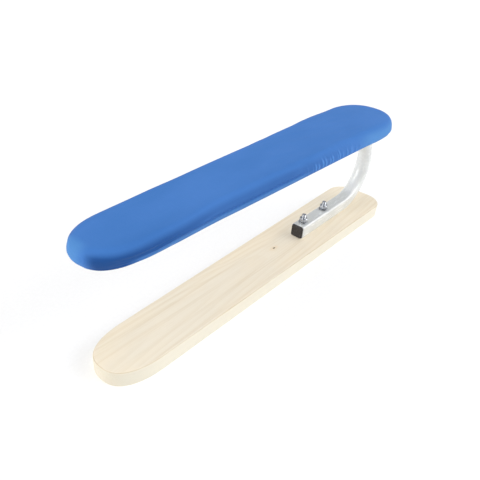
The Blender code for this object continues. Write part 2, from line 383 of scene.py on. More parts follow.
def pine(name, pale, dark, edge, knot):
    """Planed softwood: growth rings about a line under the board make arches along it.

    The colours are those of the early wood, the late wood and the sawn sides, the last of them
    painted light: set for how bright the sides look lit from the floor.
    """
    look = Look(name, Specular_IOR_Level=0.28)
    x, y, z = look.split(look.place)
    drift = look.noise((7, 30, 30))
    depth = look.plus(look.math("MULTIPLY_ADD", x, 0.030, 0.040), z)
    aside = look.plus(y, look.math("MULTIPLY_ADD", drift, 0.018, -0.013))
    square = look.plus(look.math("POWER", depth, 2.0), look.math("POWER", aside, 2.0))
    rings = look.times(look.math("SQRT", square), RINGS_PER_METRE)
    fibres = look.noise((7, 620, 620), 4.0, 0.6)
    away = look.add("ShaderNodeVectorMath", operation="DISTANCE")
    look.put(away.inputs[0], look.scaled(KNOT_STRETCH))
    look.put(away.inputs[1], [a * b for a, b in zip((*knot, BASE_HIGH.z), KNOT_STRETCH)])
    near = away.outputs["Value"]
    round_knot = look.spread(near, 0.015, 0.0, 0.0, 0.8)
    phase = look.plus(rings, look.times(drift, 1.1), look.times(fibres, 0.20), round_knot)
    part = look.math("FRACT", phase)
    late = look.times(look.spread(part, 0.30, 0.90), look.spread(part, 1.0, 0.93))
    middle = look.spread(look.math("ABSOLUTE", aside), 0.0, 0.016, 0.30, 1.0)
    strength = look.times(look.spread(drift, 0.30, 0.70, 0.12, 0.29), middle)
    streaks = look.noise((3.5, 240, 240), 3.0, 0.55)
    pores = look.noise((60, 2600, 2600))
    clouds = look.noise((8, 26, 26))
    end_grain = look.spread(look.noise(900.0), 0.3, 0.7, 0.05, 0.40)
    sides = look.normal()
    flank = look.spread(look.math("ABSOLUTE", sides["Z"]), 0.60, 0.20)
    rim = look.times(look.spread(sides["Z"], 0.35, 0.60), look.spread(sides["Z"], 0.97, 0.80))
    end = look.spread(look.math("ABSOLUTE", sides["X"]), 0.55, 0.95)
    colour = look.layers(
        pale,
        (look.times(late, strength), dark),
        (look.spread(streaks, 0.50, 0.78, 0.0, 0.36), dark),
        (look.spread(fibres, 0.48, 0.80, 0.0, 0.30), dark),
        (look.spread(pores, 0.56, 0.75, 0.0, 0.16), rgb(196, 172, 134)),
        (look.spread(clouds, 0.35, 0.7, 0.0, 0.30), rgb(243, 226, 196)),
        # Painted light: the sides take their own tone, set for the light they catch from the floor.
        (look.times(flank, 0.84), edge),
        # Painted shade: a darker line along the rounded edge between top and side.
        (look.times(rim, look.spread(clouds, 0.3, 0.7, 0.25, 0.80)), rgb(190, 172, 142)),
        (look.times(end, end_grain), dark),
        (look.spread(near, 0.0048, 0.0015, 0.0, 0.50), rgb(226, 204, 168)),
        (look.spread(near, 0.0013, 0.0007, 0.0, 0.92), rgb(84, 62, 46)),
    )
    normal = look.bump(look.plus(look.times(fibres, 0.6), look.times(pores, 0.4)), 0.00010, 0.5)
    normal = look.bump(late, 0.00006, 0.5, normal)
    rough = look.spread(fibres, 0.3, 0.7, 0.55, 0.70)
    return look.finish(Base_Color=colour, Roughness=rough, Normal=normal)


def plywood():
    """The top's core: a birch face with fine grain, and thin plies along its edge."""
    look = Look("plywood_core", Specular_IOR_Level=0.3)
    grain = look.noise((12, 420, 420), 5.0, 0.6, 0.4)
    cloud = look.noise((7, 22, 22))
    ply = look.wave(look.split(look.place)["Z"], 2 * math.pi / PLY_PITCH)
    edge = look.spread(look.math("ABSOLUTE", look.normal()["Z"]), 0.5, 0.3)
    colour = look.layers(
        rgb(229, 208, 173),
        (look.spread(grain, 0.35, 0.75), rgb(196, 166, 124)),
        (look.spread(cloud, 0.3, 0.7, 0.0, 0.25), rgb(214, 184, 142)),
        (look.times(edge, look.spread(ply, -0.2, 0.2)), rgb(170, 134, 92)),
    )
    return look.finish(Base_Color=colour, Roughness=0.62, Normal=look.bump(grain, 0.0001, 0.6))


def blue_cloth():
    """Closely woven cotton, with painted shade down its sides and along the near edge of its top, a
    painted sheen at both ends and a painted highlight on the gathers' crests.
    """
    look = Look(
        "blue_cotton",
        Roughness=0.56,
        Specular_IOR_Level=0.06,
        Sheen_Weight=0.02,
        Sheen_Roughness=0.45,
        Sheen_Tint=(0.75, 0.86, 1.0, 1.0),
    )
    x, y, z = look.split(look.place)
    rate = 2 * math.pi / THREAD_PITCH
    warp, weft = (look.spread(look.wave(along, rate), -1.0, 1.0) for along in (x, look.plus(y, z)))
    threads = look.math("MAXIMUM", warp, weft)
    slubs = look.noise((60, 900, 900), 3.0)
    cross = look.noise((900, 60, 60), 3.0)
    weave = look.plus(look.times(threads, 0.7), look.times(slubs, 0.5), look.times(cross, 0.5))
    fade = look.noise((11, 26, 26), 3.0, 0.55)

    # Painted shade: the sides, and a strip along the near edge of the top, are darkened, most
    # towards the free end and fading out towards the arm end.
    side = look.spread(look.normal()["Z"], 0.995, 0.45)
    near_edge_shade = look.spread(y, -0.012, -0.036, 0.0, 0.22)
    # Painted sheen: the far half of the free tip, and the side round the arm end, are made lighter,
    # kept off the cloth's lowest edge.
    nose = look.spread(x, -0.2450, -0.2535)
    tip = look.times(nose, look.spread(y, -0.012, 0.002))
    end = look.times(look.spread(x, 0.105, 0.150), side)
    above = look.spread(z, COVER_FLOOR, COVER_FLOOR + 0.0045)
    painted_sheen = look.times(look.math("MAXIMUM", tip, end), above)
    # Painted light: the band below the crease on the near side is kept out of the painted shade and
    # made lighter and greyer.
    below_crease = look.spread(z, CREASE_Z + 0.0002, CREASE_Z - 0.0014)
    lit_band = look.times(below_crease, look.spread(x, -0.234, -0.212), look.spread(x, 0.02, -0.01))
    # How much painted shade each point takes.
    painted_shade = look.times(
        look.math("MAXIMUM", side, near_edge_shade),
        look.spread(x, -0.23, -0.11, 0.86, 0.54),
        look.spread(x, -0.06, 0.160, 1.0, 0.0),
        look.less(look.math("MAXIMUM", end, look.times(nose, look.spread(y, -0.020, -0.008)))),
        look.less(lit_band),
    )
    crest = look.add("ShaderNodeAttribute", attribute_name=CREST).outputs["Fac"]
    colour = look.layers(
        rgb(66, 118, 187),
        (look.spread(fade, 0.30, 0.72), rgb(72, 123, 193)),
        (look.spread(weave, 0.5, 1.3, 0.0, 0.22), rgb(42, 92, 162)),
        (look.spread(slubs, 0.58, 0.8, 0.0, 0.25), rgb(76, 128, 192)),
        # painted shade on the sides and the near edge of the top
        (painted_shade, rgb(26, 67, 127)),
        # painted light below the crease
        (look.times(lit_band, 0.5), rgb(70, 112, 160)),
        # painted sheen at both ends
        (painted_sheen, rgb(77, 130, 191)),
        # Painted highlight: the crests of the gathers are lighter.
        (look.spread(crest, 0.10, 0.75, 0.0, 0.66), rgb(87, 140, 208)),
    )
    return look.finish(Base_Color=colour, Normal=look.bump(weave, 0.00010, 0.55))


def thread():
    """Sewing thread with its twist."""
    look = Look("blue_thread", Roughness=0.55, Sheen_Weight=0.3)
    twist = look.wave(look.split(look.place)["X"], TWIST_RATE)
    colour = look.layers(rgb(52, 96, 168), (look.spread(twist, -1, 1), rgb(92, 142, 212)))
    return look.finish(Base_Color=colour, Normal=look.bump(twist, 0.0001, 0.6))


def foam():
    """Open-celled foam, yellowed in patches."""
    look = Look("foam", Specular_IOR_Level=0.2)
    voronoi = look.add("ShaderNodeTexVoronoi", {"Vector": look.place, "Scale": 1400.0})
    cells = voronoi.outputs["Distance"]
    patch = look.noise(60.0, 3.0)
    colour = look.layers(
        rgb(238, 234, 216),
        (look.spread(patch, 0.3, 0.7), rgb(226, 218, 190)),
        (look.spread(cells, 0.3, 0.0, 0.0, 0.5), rgb(170, 160, 128)),
    )
    rough = look.spread(patch, 0.3, 0.7, 0.85, 0.97)
    return look.finish(Base_Color=colour, Roughness=rough, Normal=look.bump(cells, 0.0005))


def elastic():
    """Braided elastic: ribs along the band crossed by a fine herringbone."""
    look = Look("white_elastic", Sheen_Weight=0.2)
    x, y, _ = look.split(look.place)
    slants = (look.plus(x, y), look.math("SUBTRACT", x, y))
    weave = look.plus(*(look.wave(slant, BRAID_RATE) for slant in slants))
    colour = look.layers(rgb(196, 196, 194), (look.spread(weave, -1.5, 1.5), rgb(240, 240, 238)))
    return look.finish(Base_Color=colour, Roughness=0.8, Normal=look.bump(weave, 0.0002, 0.6))


def grey_paint():
    """Light grey powder coat: faint orange peel, small scuffs, and painted shade on its upward
    faces.
    """
    look = Look("grey_paint", Coat_Weight=0.7, Coat_Roughness=0.06)
    scuffs = look.noise((50, 260, 260), 6.0, 0.7)
    colour = look.layers(
        rgb(204, 206, 205),
        (look.spread(look.noise(38.0, 3.0), 0.3, 0.7), rgb(215, 217, 215)),
        # Painted shade: the upward faces are darker.
        (look.spread(look.normal()["Z"], 0.80, 0.98, 0.0, 0.8), rgb(184, 187, 186)),
        (look.spread(scuffs, 0.62, 0.74, 0.0, 0.4), rgb(180, 183, 185)),
    )
    rough = look.spread(scuffs, 0.4, 0.75, 0.18, 0.40)
    peel = look.bump(look.noise(1100.0), 0.00006, 0.5)
    return look.finish(Base_Color=colour, Roughness=rough, Normal=peel)


def black_plastic():
    """Moulded plastic with a spark-eroded grain and dusty high spots."""
    look = Look("black_plastic", Specular_IOR_Level=0.45)
    grain = look.noise(1500.0, 4.0, 0.6)
    dust = look.spread(look.noise(420.0, 5.0, 0.7), 0.45, 0.75, 0.0, 0.8)
    colour = look.layers(rgb(30, 27, 27), (dust, rgb(74, 68, 66)))
    rough = look.spread(grain, 0.3, 0.7, 0.40, 0.62)
    return look.finish(Base_Color=colour, Roughness=rough, Normal=look.bump(grain, 0.00012, 0.7))


def zinc():
    """Bright zinc plate with fine turning marks and a thin chromate haze."""
    look = Look("zinc_plate", Metallic=1.0)
    streaks = look.noise((500, 500, 5200), 3.0)
    haze = look.noise(300.0, 3.0)
    colour = look.layers(
        rgb(186, 189, 193),
        (look.spread(haze, 0.3, 0.7), rgb(146, 150, 157)),
        (look.spread(haze, 0.6, 0.8, 0.0, 0.3), rgb(160, 152, 132)),
    )
    rough = look.spread(streaks, 0.3, 0.7, 0.20, 0.38)
    return look.finish(Base_Color=colour, Roughness=rough, Normal=look.bump(streaks, 0.00004, 0.5))


def floor_paper():
    """White background paper with a faint tooth."""
    look = Look("floor_paper", Specular_IOR_Level=0.1)
    tooth = look.spread(look.noise(300.0, 3.0), 0.3, 0.7)
    colour = look.layers((0.89, 0.89, 0.89, 1), (tooth, (0.91, 0.91, 0.91, 1)))
    return look.finish(Base_Color=colour, Roughness=0.9)


# ---- board outlines


def half_at(along, length, widths):
    return (widths[0] + (widths[1] - widths[0]) * along / length) / 2


def crowded(part):
    """Shares out points along a side, 0 to 1, closer together where the cloth is gathered."""
    return float(np.interp(part, (0, 0.24, 0.90, 1), (0, 0.45, 0.93, 1)))


def round_end(end, inset, length, widths, steps):
    """(along, half width) pairs from the tip of a board's round end to where its side begins."""
    reach, power = end
    points = []
    for angle in sweep(steps):
        along = reach - (reach - inset) * math.cos(angle) ** (2 / power)
        half = half_at(along, length, widths) - inset
        points.append((along, math.sin(angle) ** (2 / power) * half))
    return points


def top_outline(inset, end_steps, side_steps):
    """Points of the padded top's outline from the free tip along -Y, round the arm end and back.

    They are (x, y) pairs in the row frame; points on the middle line come once at each tip.
    """
    length = COVER_HIGH.x - COVER_LOW.x
    nose = round_end(TOP_NOSE, inset, length, TOP_WIDTHS, end_steps)
    tail = round_end(TOP_TAIL, inset, length, TOP_WIDTHS[::-1], end_steps)
    side = nose[:-1]
    for i in range(side_steps + 1):
        along = TOP_NOSE[0] + (length - TOP_TAIL[0] - TOP_NOSE[0]) * crowded(i / side_steps)
        side.append((along, half_at(along, length, TOP_WIDTHS) - inset))
    side += [(length - a, h) for a, h in reversed(tail[:-1])]
    near = [(COVER_LOW.x + a, -h) for a, h in side]
    return near + [(x, -y) for x, y in reversed(near[1:-1])]


def base_outline(inset, side_steps=24):
    """Points of the base's outline: round nose, straight sides, square end with round corners."""
    length = BASE_HIGH.x - BASE_LOW.x
    corner_start = length - BASE_CORNER
    side = round_end(BASE_NOSE, inset, length, BASE_WIDTHS, 40)
    for i in range(1, side_steps):
        along = BASE_NOSE[0] + (corner_start - BASE_NOSE[0]) * i / side_steps
        side.append((along, half_at(along, length, BASE_WIDTHS) - inset))
    for angle in sweep(16):
        along = corner_start + (BASE_CORNER - inset) * math.sin(angle)
        half = half_at(along, length, BASE_WIDTHS) - BASE_CORNER
        side.append((along, half + (BASE_CORNER - inset) * math.cos(angle)))
    near = [(BASE_LOW.x + a, BASE_MIDDLE_Y - h) for a, h in side]
    return near + [(x, 2 * BASE_MIDDLE_Y - y) for x, y in reversed(near[1:])]


def quarter(radius, steps=6):
    """(inset, drop) pairs round a quarter circle, from the side to the face."""
    return [(radius * (1 - math.cos(a)), radius * (1 - math.sin(a))) for a in sweep(steps)]


# ---- wood


def soft_edged(low, high, inset, soften, steps):
    """(inset, z) levels of a board whose two edges are rounded."""
    levels = [(inset + a, low.z + b) for a, b in reversed(quarter(soften, steps))]
    return levels + [(inset + a, high.z - b) for a, b in quarter(soften, steps)]


def bolt_places():
    """Middle x of the front and rear bolts."""
    places = []
    for place in ("front", "rear"):
        low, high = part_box(f"base_bolt_{place}")
        places.append((low.x + high.x) / 2)
    return places


def hole_cutter(x, steps):
    """A stepped round cutter about a vertical line, from (radius, low z, high z) steps."""
    profile = []
    for radius, low, high in steps:
        profile += [(radius, low), (radius, high)]
    return skin(moved(turned(profile, steps=40), x, 0))


def make_base_board(material):
    """The base: edges softened, sides a little uneven, and a stepped hole for each bolt."""
    rings = []
    for inset, z in soft_edged(BASE_LOW, BASE_HIGH, 0.0, 0.0014, 6):
        ring = []
        for x, y in base_outline(inset):
            dent = 0.00018 * noise.noise(Vector((x * 70, y * 70, z * 30)))
            ring.append((x, y + math.copysign(dent, y), z))
        rings.append(ring)
    board = new_object("base_board_wood", skin(rings), material)
    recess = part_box("base_bolt_front")[0].z + HEAD_HEIGHT + 0.0003
    neck = recess + NECK_RECESS[1]
    steps = (
        (HEAD_RECESS, BASE_LOW.z - CLEAR, recess),
        (NECK_RECESS[0], recess, neck),
        (BOLT_HOLE, neck, BASE_HIGH.z + CLEAR),
    )
    drill(board, [hole_cutter(x, steps) for x in bolt_places()])
    seat(board, "pale_pine", "base_board")


# ---- arm


def rounded_square(half, corner, steps=12):
    points = []
    for turn in range(4):
        middle = math.radians(90 * turn + 45)
        u = math.copysign(half - corner, math.cos(middle))
        v = math.copysign(half - corner, math.sin(middle))
        for angle in sweep(steps):
            angle += math.pi / 2 * turn
            points.append((u + corner * math.cos(angle), v + corner * math.sin(angle)))
    return points


def ease(part):
    part = min(max(part, 0.0), 1.0)
    return part * part * (3 - 2 * part)


def arm_stations():
    """(x, z, heading, half, corner) along the C: square legs that open into a round bend."""
    corner, leg_steps, bend_steps = 0.003, 16, 96
    run = BEND_X - TUBE_LOW.x
    lower = [TUBE_LOW.x, TUBE_LOW.x + 0.0004]
    lower += [TUBE_LOW.x + run * (i + 1) / leg_steps for i in range(leg_steps - 1)]
    stations = [(x, LOWER_LEG_Z, 0.0, LEG_HALF, corner) for x in lower]
    for angle in sweep(bend_steps, math.pi):
        opened = ease(min(angle, math.pi - angle) / OPENING_ANGLE)
        half = LEG_HALF + (ROUND_HALF - LEG_HALF) * opened
        x = BEND_X + BEND_RADIUS * math.sin(angle)
        z = LOWER_LEG_Z + BEND_RADIUS * (1 - math.cos(angle))
        stations.append((x, z, angle, half, corner + (half - 0.0003 - corner) * opened))
    return stations + [(x, UPPER_LEG_Z, math.pi, LEG_HALF, corner) for x in reversed(lower)]


def arm_ring(x, z, heading, half, corner, wall):
    ring = []
    for across, lift in rounded_square(half - wall, corner - wall):
        ring.append((x - lift * math.sin(heading), across, z + lift * math.cos(heading)))
    return ring


def make_arm_tube(material):
    """The hollow tube, with clear holes for the bolts through both walls of each leg."""
    stations = arm_stations()
    outer = [arm_ring(*s, 0.0) for s in stations]
    inner = [arm_ring(*s, WALL) for s in stations]
    tube = new_object("arm_tube_painted", skin(outer + inner[::-1], joined=True), material)
    cutters = []
    for x in bolt_places():
        for z in (LOWER_LEG_Z, UPPER_LEG_Z):
            cutters.append(hole_cutter(x, ((BOLT_HOLE, z - CLEAR, z + CLEAR),)))
    drill(tube, cutters)
    tube.data.shade_smooth()
    tube.data.set_sharp_from_angle(angle=math.radians(50))
    seat(tube, "grey_paint", "arm_tube")


def make_plug(node, material):
    """A square plug: soft rim, a shallow sunk panel, and a ribbed stem in the tube."""
    low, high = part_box(node)
    half = (high.y - low.y) / 2 - 0.0006
    height = (low.z + high.z) / 2
    flange = 0.0025
    stem = LEG_HALF - WALL - 0.0003
    stations = [(x, half - back, corner) for x, back, corner in PLUG_FACE]
    stations += [(flange - 0.0002, half, 0.0027), (flange, half - 0.0002, 0.0025)]
    stations += [(flange, stem - 0.0004, 0.0012)]
    for i in range(6):
        rib = 0.0 if i % 2 else -0.0005
        stations.append((flange + 0.0005 + 0.001 * i, stem + rib, 0.0013))
    rings = []
    for x, size, corner in stations:
        rings.append([(low.x + x, a, height + b) for a, b in rounded_square(size, corner, 6)])
    seat(new_object(f"{node}_moulded", skin(rings), material, 45), "black_plastic", node)


# ---- fasteners


def hexagon(angle, radius):
    sixth = math.pi / 3
    return radius / math.cos((angle + sixth / 2) % sixth - sixth / 2)


def nut_rings(half, thick):
    """A hexagon nut: a cone turns off its corners at both faces, which dish in to the bore."""
    crown, flat, chamfer = half / math.cos(math.pi / 6), half * 0.955, 0.0011

    def outside(angle, radius, z):
        if radius < half:
            return radius
        cone = flat + (crown - flat) * min(min(z, thick - z) / chamfer, 1.0)
        return min(hexagon(angle, half), cone)

    bore, dish = BOLT_RADIUS + 0.0003, 0.0005
    levels = [0.0, 0.0002, 0.0004, 0.0006, 0.0008, chamfer]
    profile = [(half, z) for z in levels]
    profile += [(half, thick - z) for z in reversed(levels)]
    profile += [(bore, thick - dish), (bore, dish)]
    return turned(profile, outside, 72)


def washer_rings(radius, thick):
    soft = 0.0002
    bore = BOLT_HOLE
    half = [(bore, soft), (bore + soft, 0), (radius - soft, 0), (radius, soft)]
    return turned(half + [(r, thick - z) for r, z in reversed(half)], steps=56)


def bolt_rings(length, head_radius):
    """A carriage bolt along +Z: domed head below 0, square neck, plain shank, rolled thread."""
    core, pitch, depth = BOLT_RADIUS - 0.0001, 0.001, 0.00045
    neck, neck_half, rim = 0.0035, 0.00301, 0.0003
    thread_start = length - 0.024
    run = length - 0.0006 - thread_start
    profile = []
    for angle in sweep(9)[1:]:
        below = HEAD_HEIGHT * (0.22 + 0.78 * math.cos(angle))
        profile.append((head_radius * math.sin(angle), -below))
    rings = turned(profile + [(head_radius, -rim), (head_radius - rim, 0.0)])

    def square(angle, radius, z):
        return radius / max(abs(math.cos(angle)), abs(math.sin(angle)))

    def threaded(angle, radius, z):
        turn = (z / pitch - angle / (2 * math.pi)) % 1.0
        fade = min((z - thread_start) / 0.001, (length - z) / 0.0008, 1.0)
        return radius - depth * (1 - abs(2 * turn - 1)) * fade

    rings += turned([(neck_half, 0.0), (neck_half, neck)], square)
    rings += turned([(core, neck + 0.0002), (core, thread_start)])
    samples = int(run / pitch * 7)
    body = [(core, thread_start + run * i / samples) for i in range(1, samples)]
    rings += turned(body, threaded)
    return rings + turned([(core - 0.0004, length - 0.0003), (core - 0.0009, length)])


def make_fasteners(material):
    """Both pairs of bolts with their washers and nuts; the upper pair points down."""
    for level, flipped in (("base", False), ("top", True)):
        for place, x in zip(("front", "rear"), bolt_places()):
            for kind in ("bolt", "washer", "nut"):
                node = f"{level}_{kind}_{place}"
                low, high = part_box(node)
                thick, half = high.z - low.z, (high.x - low.x) / 2
                start = high.z if flipped else low.z
                if kind == "nut":
                    rings = nut_rings(half, thick)
                elif kind == "washer":
                    rings = washer_rings(half, thick)
                else:
                    rings = bolt_rings(thick - HEAD_HEIGHT, half)
                    start += -HEAD_HEIGHT if flipped else HEAD_HEIGHT
                shape = skin(moved(rings, x, start, flipped), joined=kind != "bolt")
                seat(new_object(f"{node}_plated", shape, material, 38), "zinc_plate", node)


# ---- cover

def between(value, start, end, fade):
    """1 from start to end, easing to 0 within fade outside them; works on arrays."""
    rise = np.clip((value - start) / fade + 1, 0, 1)
    fall = np.clip((end - value) / fade + 1, 0, 1)
    return rise * rise * (3 - 2 * rise) * fall * fall * (3 - 2 * fall)


def hill(value, middle, spread):
    return np.exp(-(((value - middle) / spread) ** 2))


def rumple(points, scale, seed):
    """Smooth noise at each point, from -1 to 1; scale is (x, y, z) in 1/m."""
    offset = Vector((seed * 7.3, seed * 3.1, seed * 5.7))
    return np.array([noise.noise(Vector(p) + offset) for p in np.asarray(points) * scale])


class Outline:
    """The cover's plan outline, column by column, and how its side is shaped at each column."""

    def __init__(self):
        insets = (0.0, SHOULDER, HEM_INSET)
        outlines = (top_outline(inset, END_STEPS, SIDE_STEPS) for inset in insets)
        self.edge, self.shelf, self.hem = (np.array(points) for points in outlines)
        self.count = len(self.edge)
        away = self.edge - self.shelf
        self.out = away / np.linalg.norm(away, axis=1)[:, None]

        x, y = self.edge.T
        near, far = between(y, -1.0, -0.012, 0.016), between(y, 0.010, 1.0, 0.016)
        tip, wide_tip = between(x, -0.30, -0.245, 0.012), between(x, -0.30, -0.236, 0.028)
        near_nose = between(x, -0.252, -0.180, 0.060) * near

        # The round over the top edge and the one at the foot of the side, by radius.
        self.shoulder = 0.0105 - 0.0037 * between(x, -0.30, 0.10, 0.08) * far - 0.0048 * near_nose
        self.foot = 0.0040 + 0.0006 * tip - 0.0014 * near_nose

        # The near side leans in under the board; the free tip stands out and is pinched.
        lean = 0.0027 * between(x, -0.246, -0.165, 0.075) + 0.0005 * hill(x, -0.09, 0.05)
        self.under = (0.0008 + lean) * near
        self.flare = 0.0011 * hill(y, 0.010, 0.025) * wide_tip
        self.flare = self.flare + 0.0014 * hill(y, -0.017, 0.009) * tip
        self.pinch = 0.0006 * hill(y, -0.0100, 0.0030) * tip

        # The crease where the cloth is drawn in just over the core's lower edge.
        line = between(x, -0.218, -0.012, 0.024) * near + between(x, -0.205, 0.150, 0.03) * far
        self.crease = (0.0024 + 0.0007 * hill(x, -0.165, 0.05)) * line
        self.crease = self.crease + 0.0012 * between(x, 0.186, 0.232, 0.03) * near
        dip = 0.0040 * between(x, -0.30, -0.225, 0.05) + 0.0030 * between(x, 0.16, 0.30, 0.03)
        self.crease_z = CREASE_Z - dip * near

        # Where the foam stands the whole side out, or a little in.
        far_swell = 0.0034 * hill(x, 0.140, 0.040) - 0.0010 * between(x, -1.0, 0.065, 0.04)
        near_swell = 0.0020 * hill(x, 0.174, 0.030) - 0.0018 * hill(x, 0.214, 0.020)
        arm_corner = hill(x, 0.238, 0.036) * between(y, 0.044, 1.0, 0.048)
        tip_corner = between(x, -0.262, -0.180, 0.060) * between(y, -1.0, -0.031, 0.036)
        self.swell = far_swell * far + near_swell * near + 0.0066 * arm_corner
        self.swell = self.swell + 0.0036 * tip_corner + 0.0014 * hill(y, 0.008, 0.018) * wide_tip

    def ring(self, inset, z, out=0.0):
        """One ring of points; inset, z and the outward shift may each differ by column."""
        inset = np.broadcast_to(inset, self.count)[:, None]
        first = self.edge + (self.shelf - self.edge) * inset / SHOULDER
        part = (inset - SHOULDER) / (HEM_INSET - SHOULDER)
        second = self.shelf + (self.hem - self.shelf) * part
        flat = np.where(inset <= SHOULDER, first, second)
        flat = flat + self.out * np.broadcast_to(out, self.count)[:, None]
        return np.column_stack((flat, np.broadcast_to(z, self.count)))


def ruffles(outline, inset):
    """How far the gathered cloth under the board hangs down at each column."""
    x = outline.edge[:, 0]
    step = np.linalg.norm(np.roll(outline.edge, -1, axis=0) - outline.edge, axis=1)
    length = np.cumsum(step)
    along = length + 0.0035 * np.sin(length * 61) + 0.0022 * np.sin(length * 143 + 1)
    curved = between(x, -0.30, -0.215, 0.03) + between(x, 0.185, 0.30, 0.04)
    height = 0.00055 + 0.00075 * curved
    wave = 0.5 - 0.5 * np.cos(2 * math.pi * along / RUFFLE_PITCH)
    grow = np.clip((inset - 0.004) / 0.010, 0, 1)
    return height * wave * grow * grow * (3 - 2 * grow)


def side_shift(outline, z):
    """Outward shift of the side at height z: lean, flared tip, swell and crease."""
    top = COVER_HIGH.z - outline.shoulder
    down = np.clip((top - z) / (top - COVER_FLOOR), 0, 1)
    shift = outline.flare * np.sin(math.pi * down) ** 0.7 - outline.under * down
    shift = shift + outline.pinch * hill(down, 0.8, 0.5) + outline.swell * (1 - 0.5 * down)
    above = z - outline.crease_z
    drawn_in = hill(above, 0.0, 0.00085)
    bulge = 0.40 * hill(above, 0.0022, 0.0012) + 0.10 * hill(above, -0.0026, 0.0013)
    return shift + outline.crease * (bulge - drawn_in)


def cover_rings():
    """Rings of the cover from near the middle of its top out to the hem.

    Returns them with the outline they follow and the x where the round ends begin.
    """
    outline = Outline()
    top = COVER_HIGH.z
    rings = []
    shelf = outline.ring(outline.shoulder, top)
    tips = (COVER_LOW.x + TOP_NOSE[0], COVER_HIGH.x - TOP_TAIL[0])
    spine = np.clip(shelf[:, 0], *tips)
    for part in np.linspace(1 / 12, 11 / 12, 11):
        x = spine + (shelf[:, 0] - spine) * part
        rings.append(np.column_stack((x, shelf[:, 1] * part, shelf[:, 2])))

    round_steps, wall_steps, foot_steps, under_steps = 11, 20, 6, 7
    for i, angle in enumerate(sweep(round_steps)[:-1]):
        height = top - outline.shoulder * (1 - math.cos(angle))
        shift = side_shift(outline, height) * (i / round_steps)
        rings.append(outline.ring(outline.shoulder * (1 - math.sin(angle)), height, shift))
    wall_top = top - outline.shoulder
    wall_low = COVER_FLOOR + outline.foot
    for i in range(wall_steps):
        height = wall_top + (wall_low - wall_top) * i / wall_steps
        rings.append(outline.ring(0.0, height, side_shift(outline, height)))
    low_shift = side_shift(outline, wall_low)
    for i, (inset, drop) in enumerate(quarter(1.0, foot_steps)):
        height = COVER_FLOOR + outline.foot * drop
        rings.append(outline.ring(outline.foot * inset, height, low_shift * (1 - i / 12)))
    start = float(outline.foot.max()) + 0.0012
    for inset in np.linspace(start, STITCH_INSET - 0.0009, under_steps):
        shift = low_shift * 0.4 * (1 - inset / 0.02)
        rings.append(outline.ring(inset, COVER_FLOOR - ruffles(outline, inset), shift))
    for offset, drop in HEM_SECTION:
        inset = STITCH_INSET + offset
        rings.append(outline.ring(inset, COVER_FLOOR - drop - ruffles(outline, inset)))
    return rings, outline, tips


def cover_sheet():
    """The cover as one sheet: rings by column, and a strip down the middle of its top."""
    rings, outline, tips = cover_rings()
    count, half = outline.count, outline.count // 2
    points = np.concatenate(rings)
    faces = []
    for level in range(len(rings) - 1):
        base = level * count
        for i in range(count):
            j = (i + 1) % count
            faces.append((base + i, base + j, base + count + j, base + count + i))
    first, last = END_STEPS, half - END_STEPS
    middle = {i: len(points) + i - first for i in range(first, last + 1)}
    ridge = [(np.clip(rings[0][i][0], *tips), 0.0, COVER_HIGH.z) for i in middle]
    for i in range(first, last):
        faces.append((i, middle[i], middle[i + 1], i + 1))
        faces.append((middle[i], count - i, count - i - 1, middle[i + 1]))
    for i in range(first):
        faces.append((i, middle[first], i + 1))
        faces.append(((count - i) % count, count - i - 1, middle[first]))
    for i in range(last, half):
        faces.append((i, middle[last], i + 1))
        faces.append((count - i, count - i - 1, middle[last]))
    return np.concatenate((points, ridge)), faces, outline


def pleats():
    """Gathers drawn up over the side: (middle x, side of the board, height, reach, width)."""
    draw = np.random.default_rng(11)
    places = []
    for side, start, end, step, most in PLEAT_ROWS:
        for x in np.arange(start, end, step):
            fade = 1 - 0.45 * abs(2 * (x - start) / (end - start) - 1) ** 2
            height = most * fade * draw.uniform(0.45, 1.0)
            middle = x + draw.uniform(-0.0022, 0.0022)
            places.append((middle, side, height, draw.uniform(0.35, 1.0), draw.uniform(0.8, 1.25)))
    return places


def gather(points, normals):
    """Push the cloth out into pleats over its side; also how near each point is to a crest."""
    x, y, z = points.T
    up = np.clip((z - COVER_FLOOR) / (COVER_HIGH.z - COVER_FLOOR), 0, 1)
    half = half_at(x - COVER_LOW.x, COVER_HIGH.x - COVER_LOW.x, TOP_WIDTHS)
    from_edge = between(half - np.abs(y), -1.0, 0.003, 0.006)
    lower = between(z, COVER_FLOOR + 0.0050, 1.0, 0.0036)
    shift = np.zeros(len(points))
    for middle, side, height, reach, width in pleats():
        fade = between(up, 0.0, 0.30 + 0.35 * reach, 0.30) * from_edge
        away = (x - middle + 0.0040 * up) / width
        ridge = hill(away, 0.0, 0.0015) - 0.08 * hill(away, 0.0034, 0.0014)
        shift += height * ridge * fade * lower * (y * side > 0)
    return points + normals * shift[:, None], np.clip(shift / 0.0012, 0, 1)


def settled(mesh, move, calm, passes=60):
    """Average each vertex's move with its neighbours' where calm is 1, so flat cloth stays flat."""
    pairs = np.empty(len(mesh.edges) * 2, dtype=np.int64)
    mesh.edges.foreach_get("vertices", pairs)
    pairs = pairs.reshape(-1, 2)
    first, second = np.concatenate((pairs, pairs[:, ::-1])).T
    count = np.bincount(first, minlength=len(move))[:, None]
    for _ in range(passes):
        total = [np.bincount(first, move[second, axis], len(move)) for axis in range(3)]
        move = move + (np.stack(total, axis=1) / count - move) * calm[:, None]
    return move


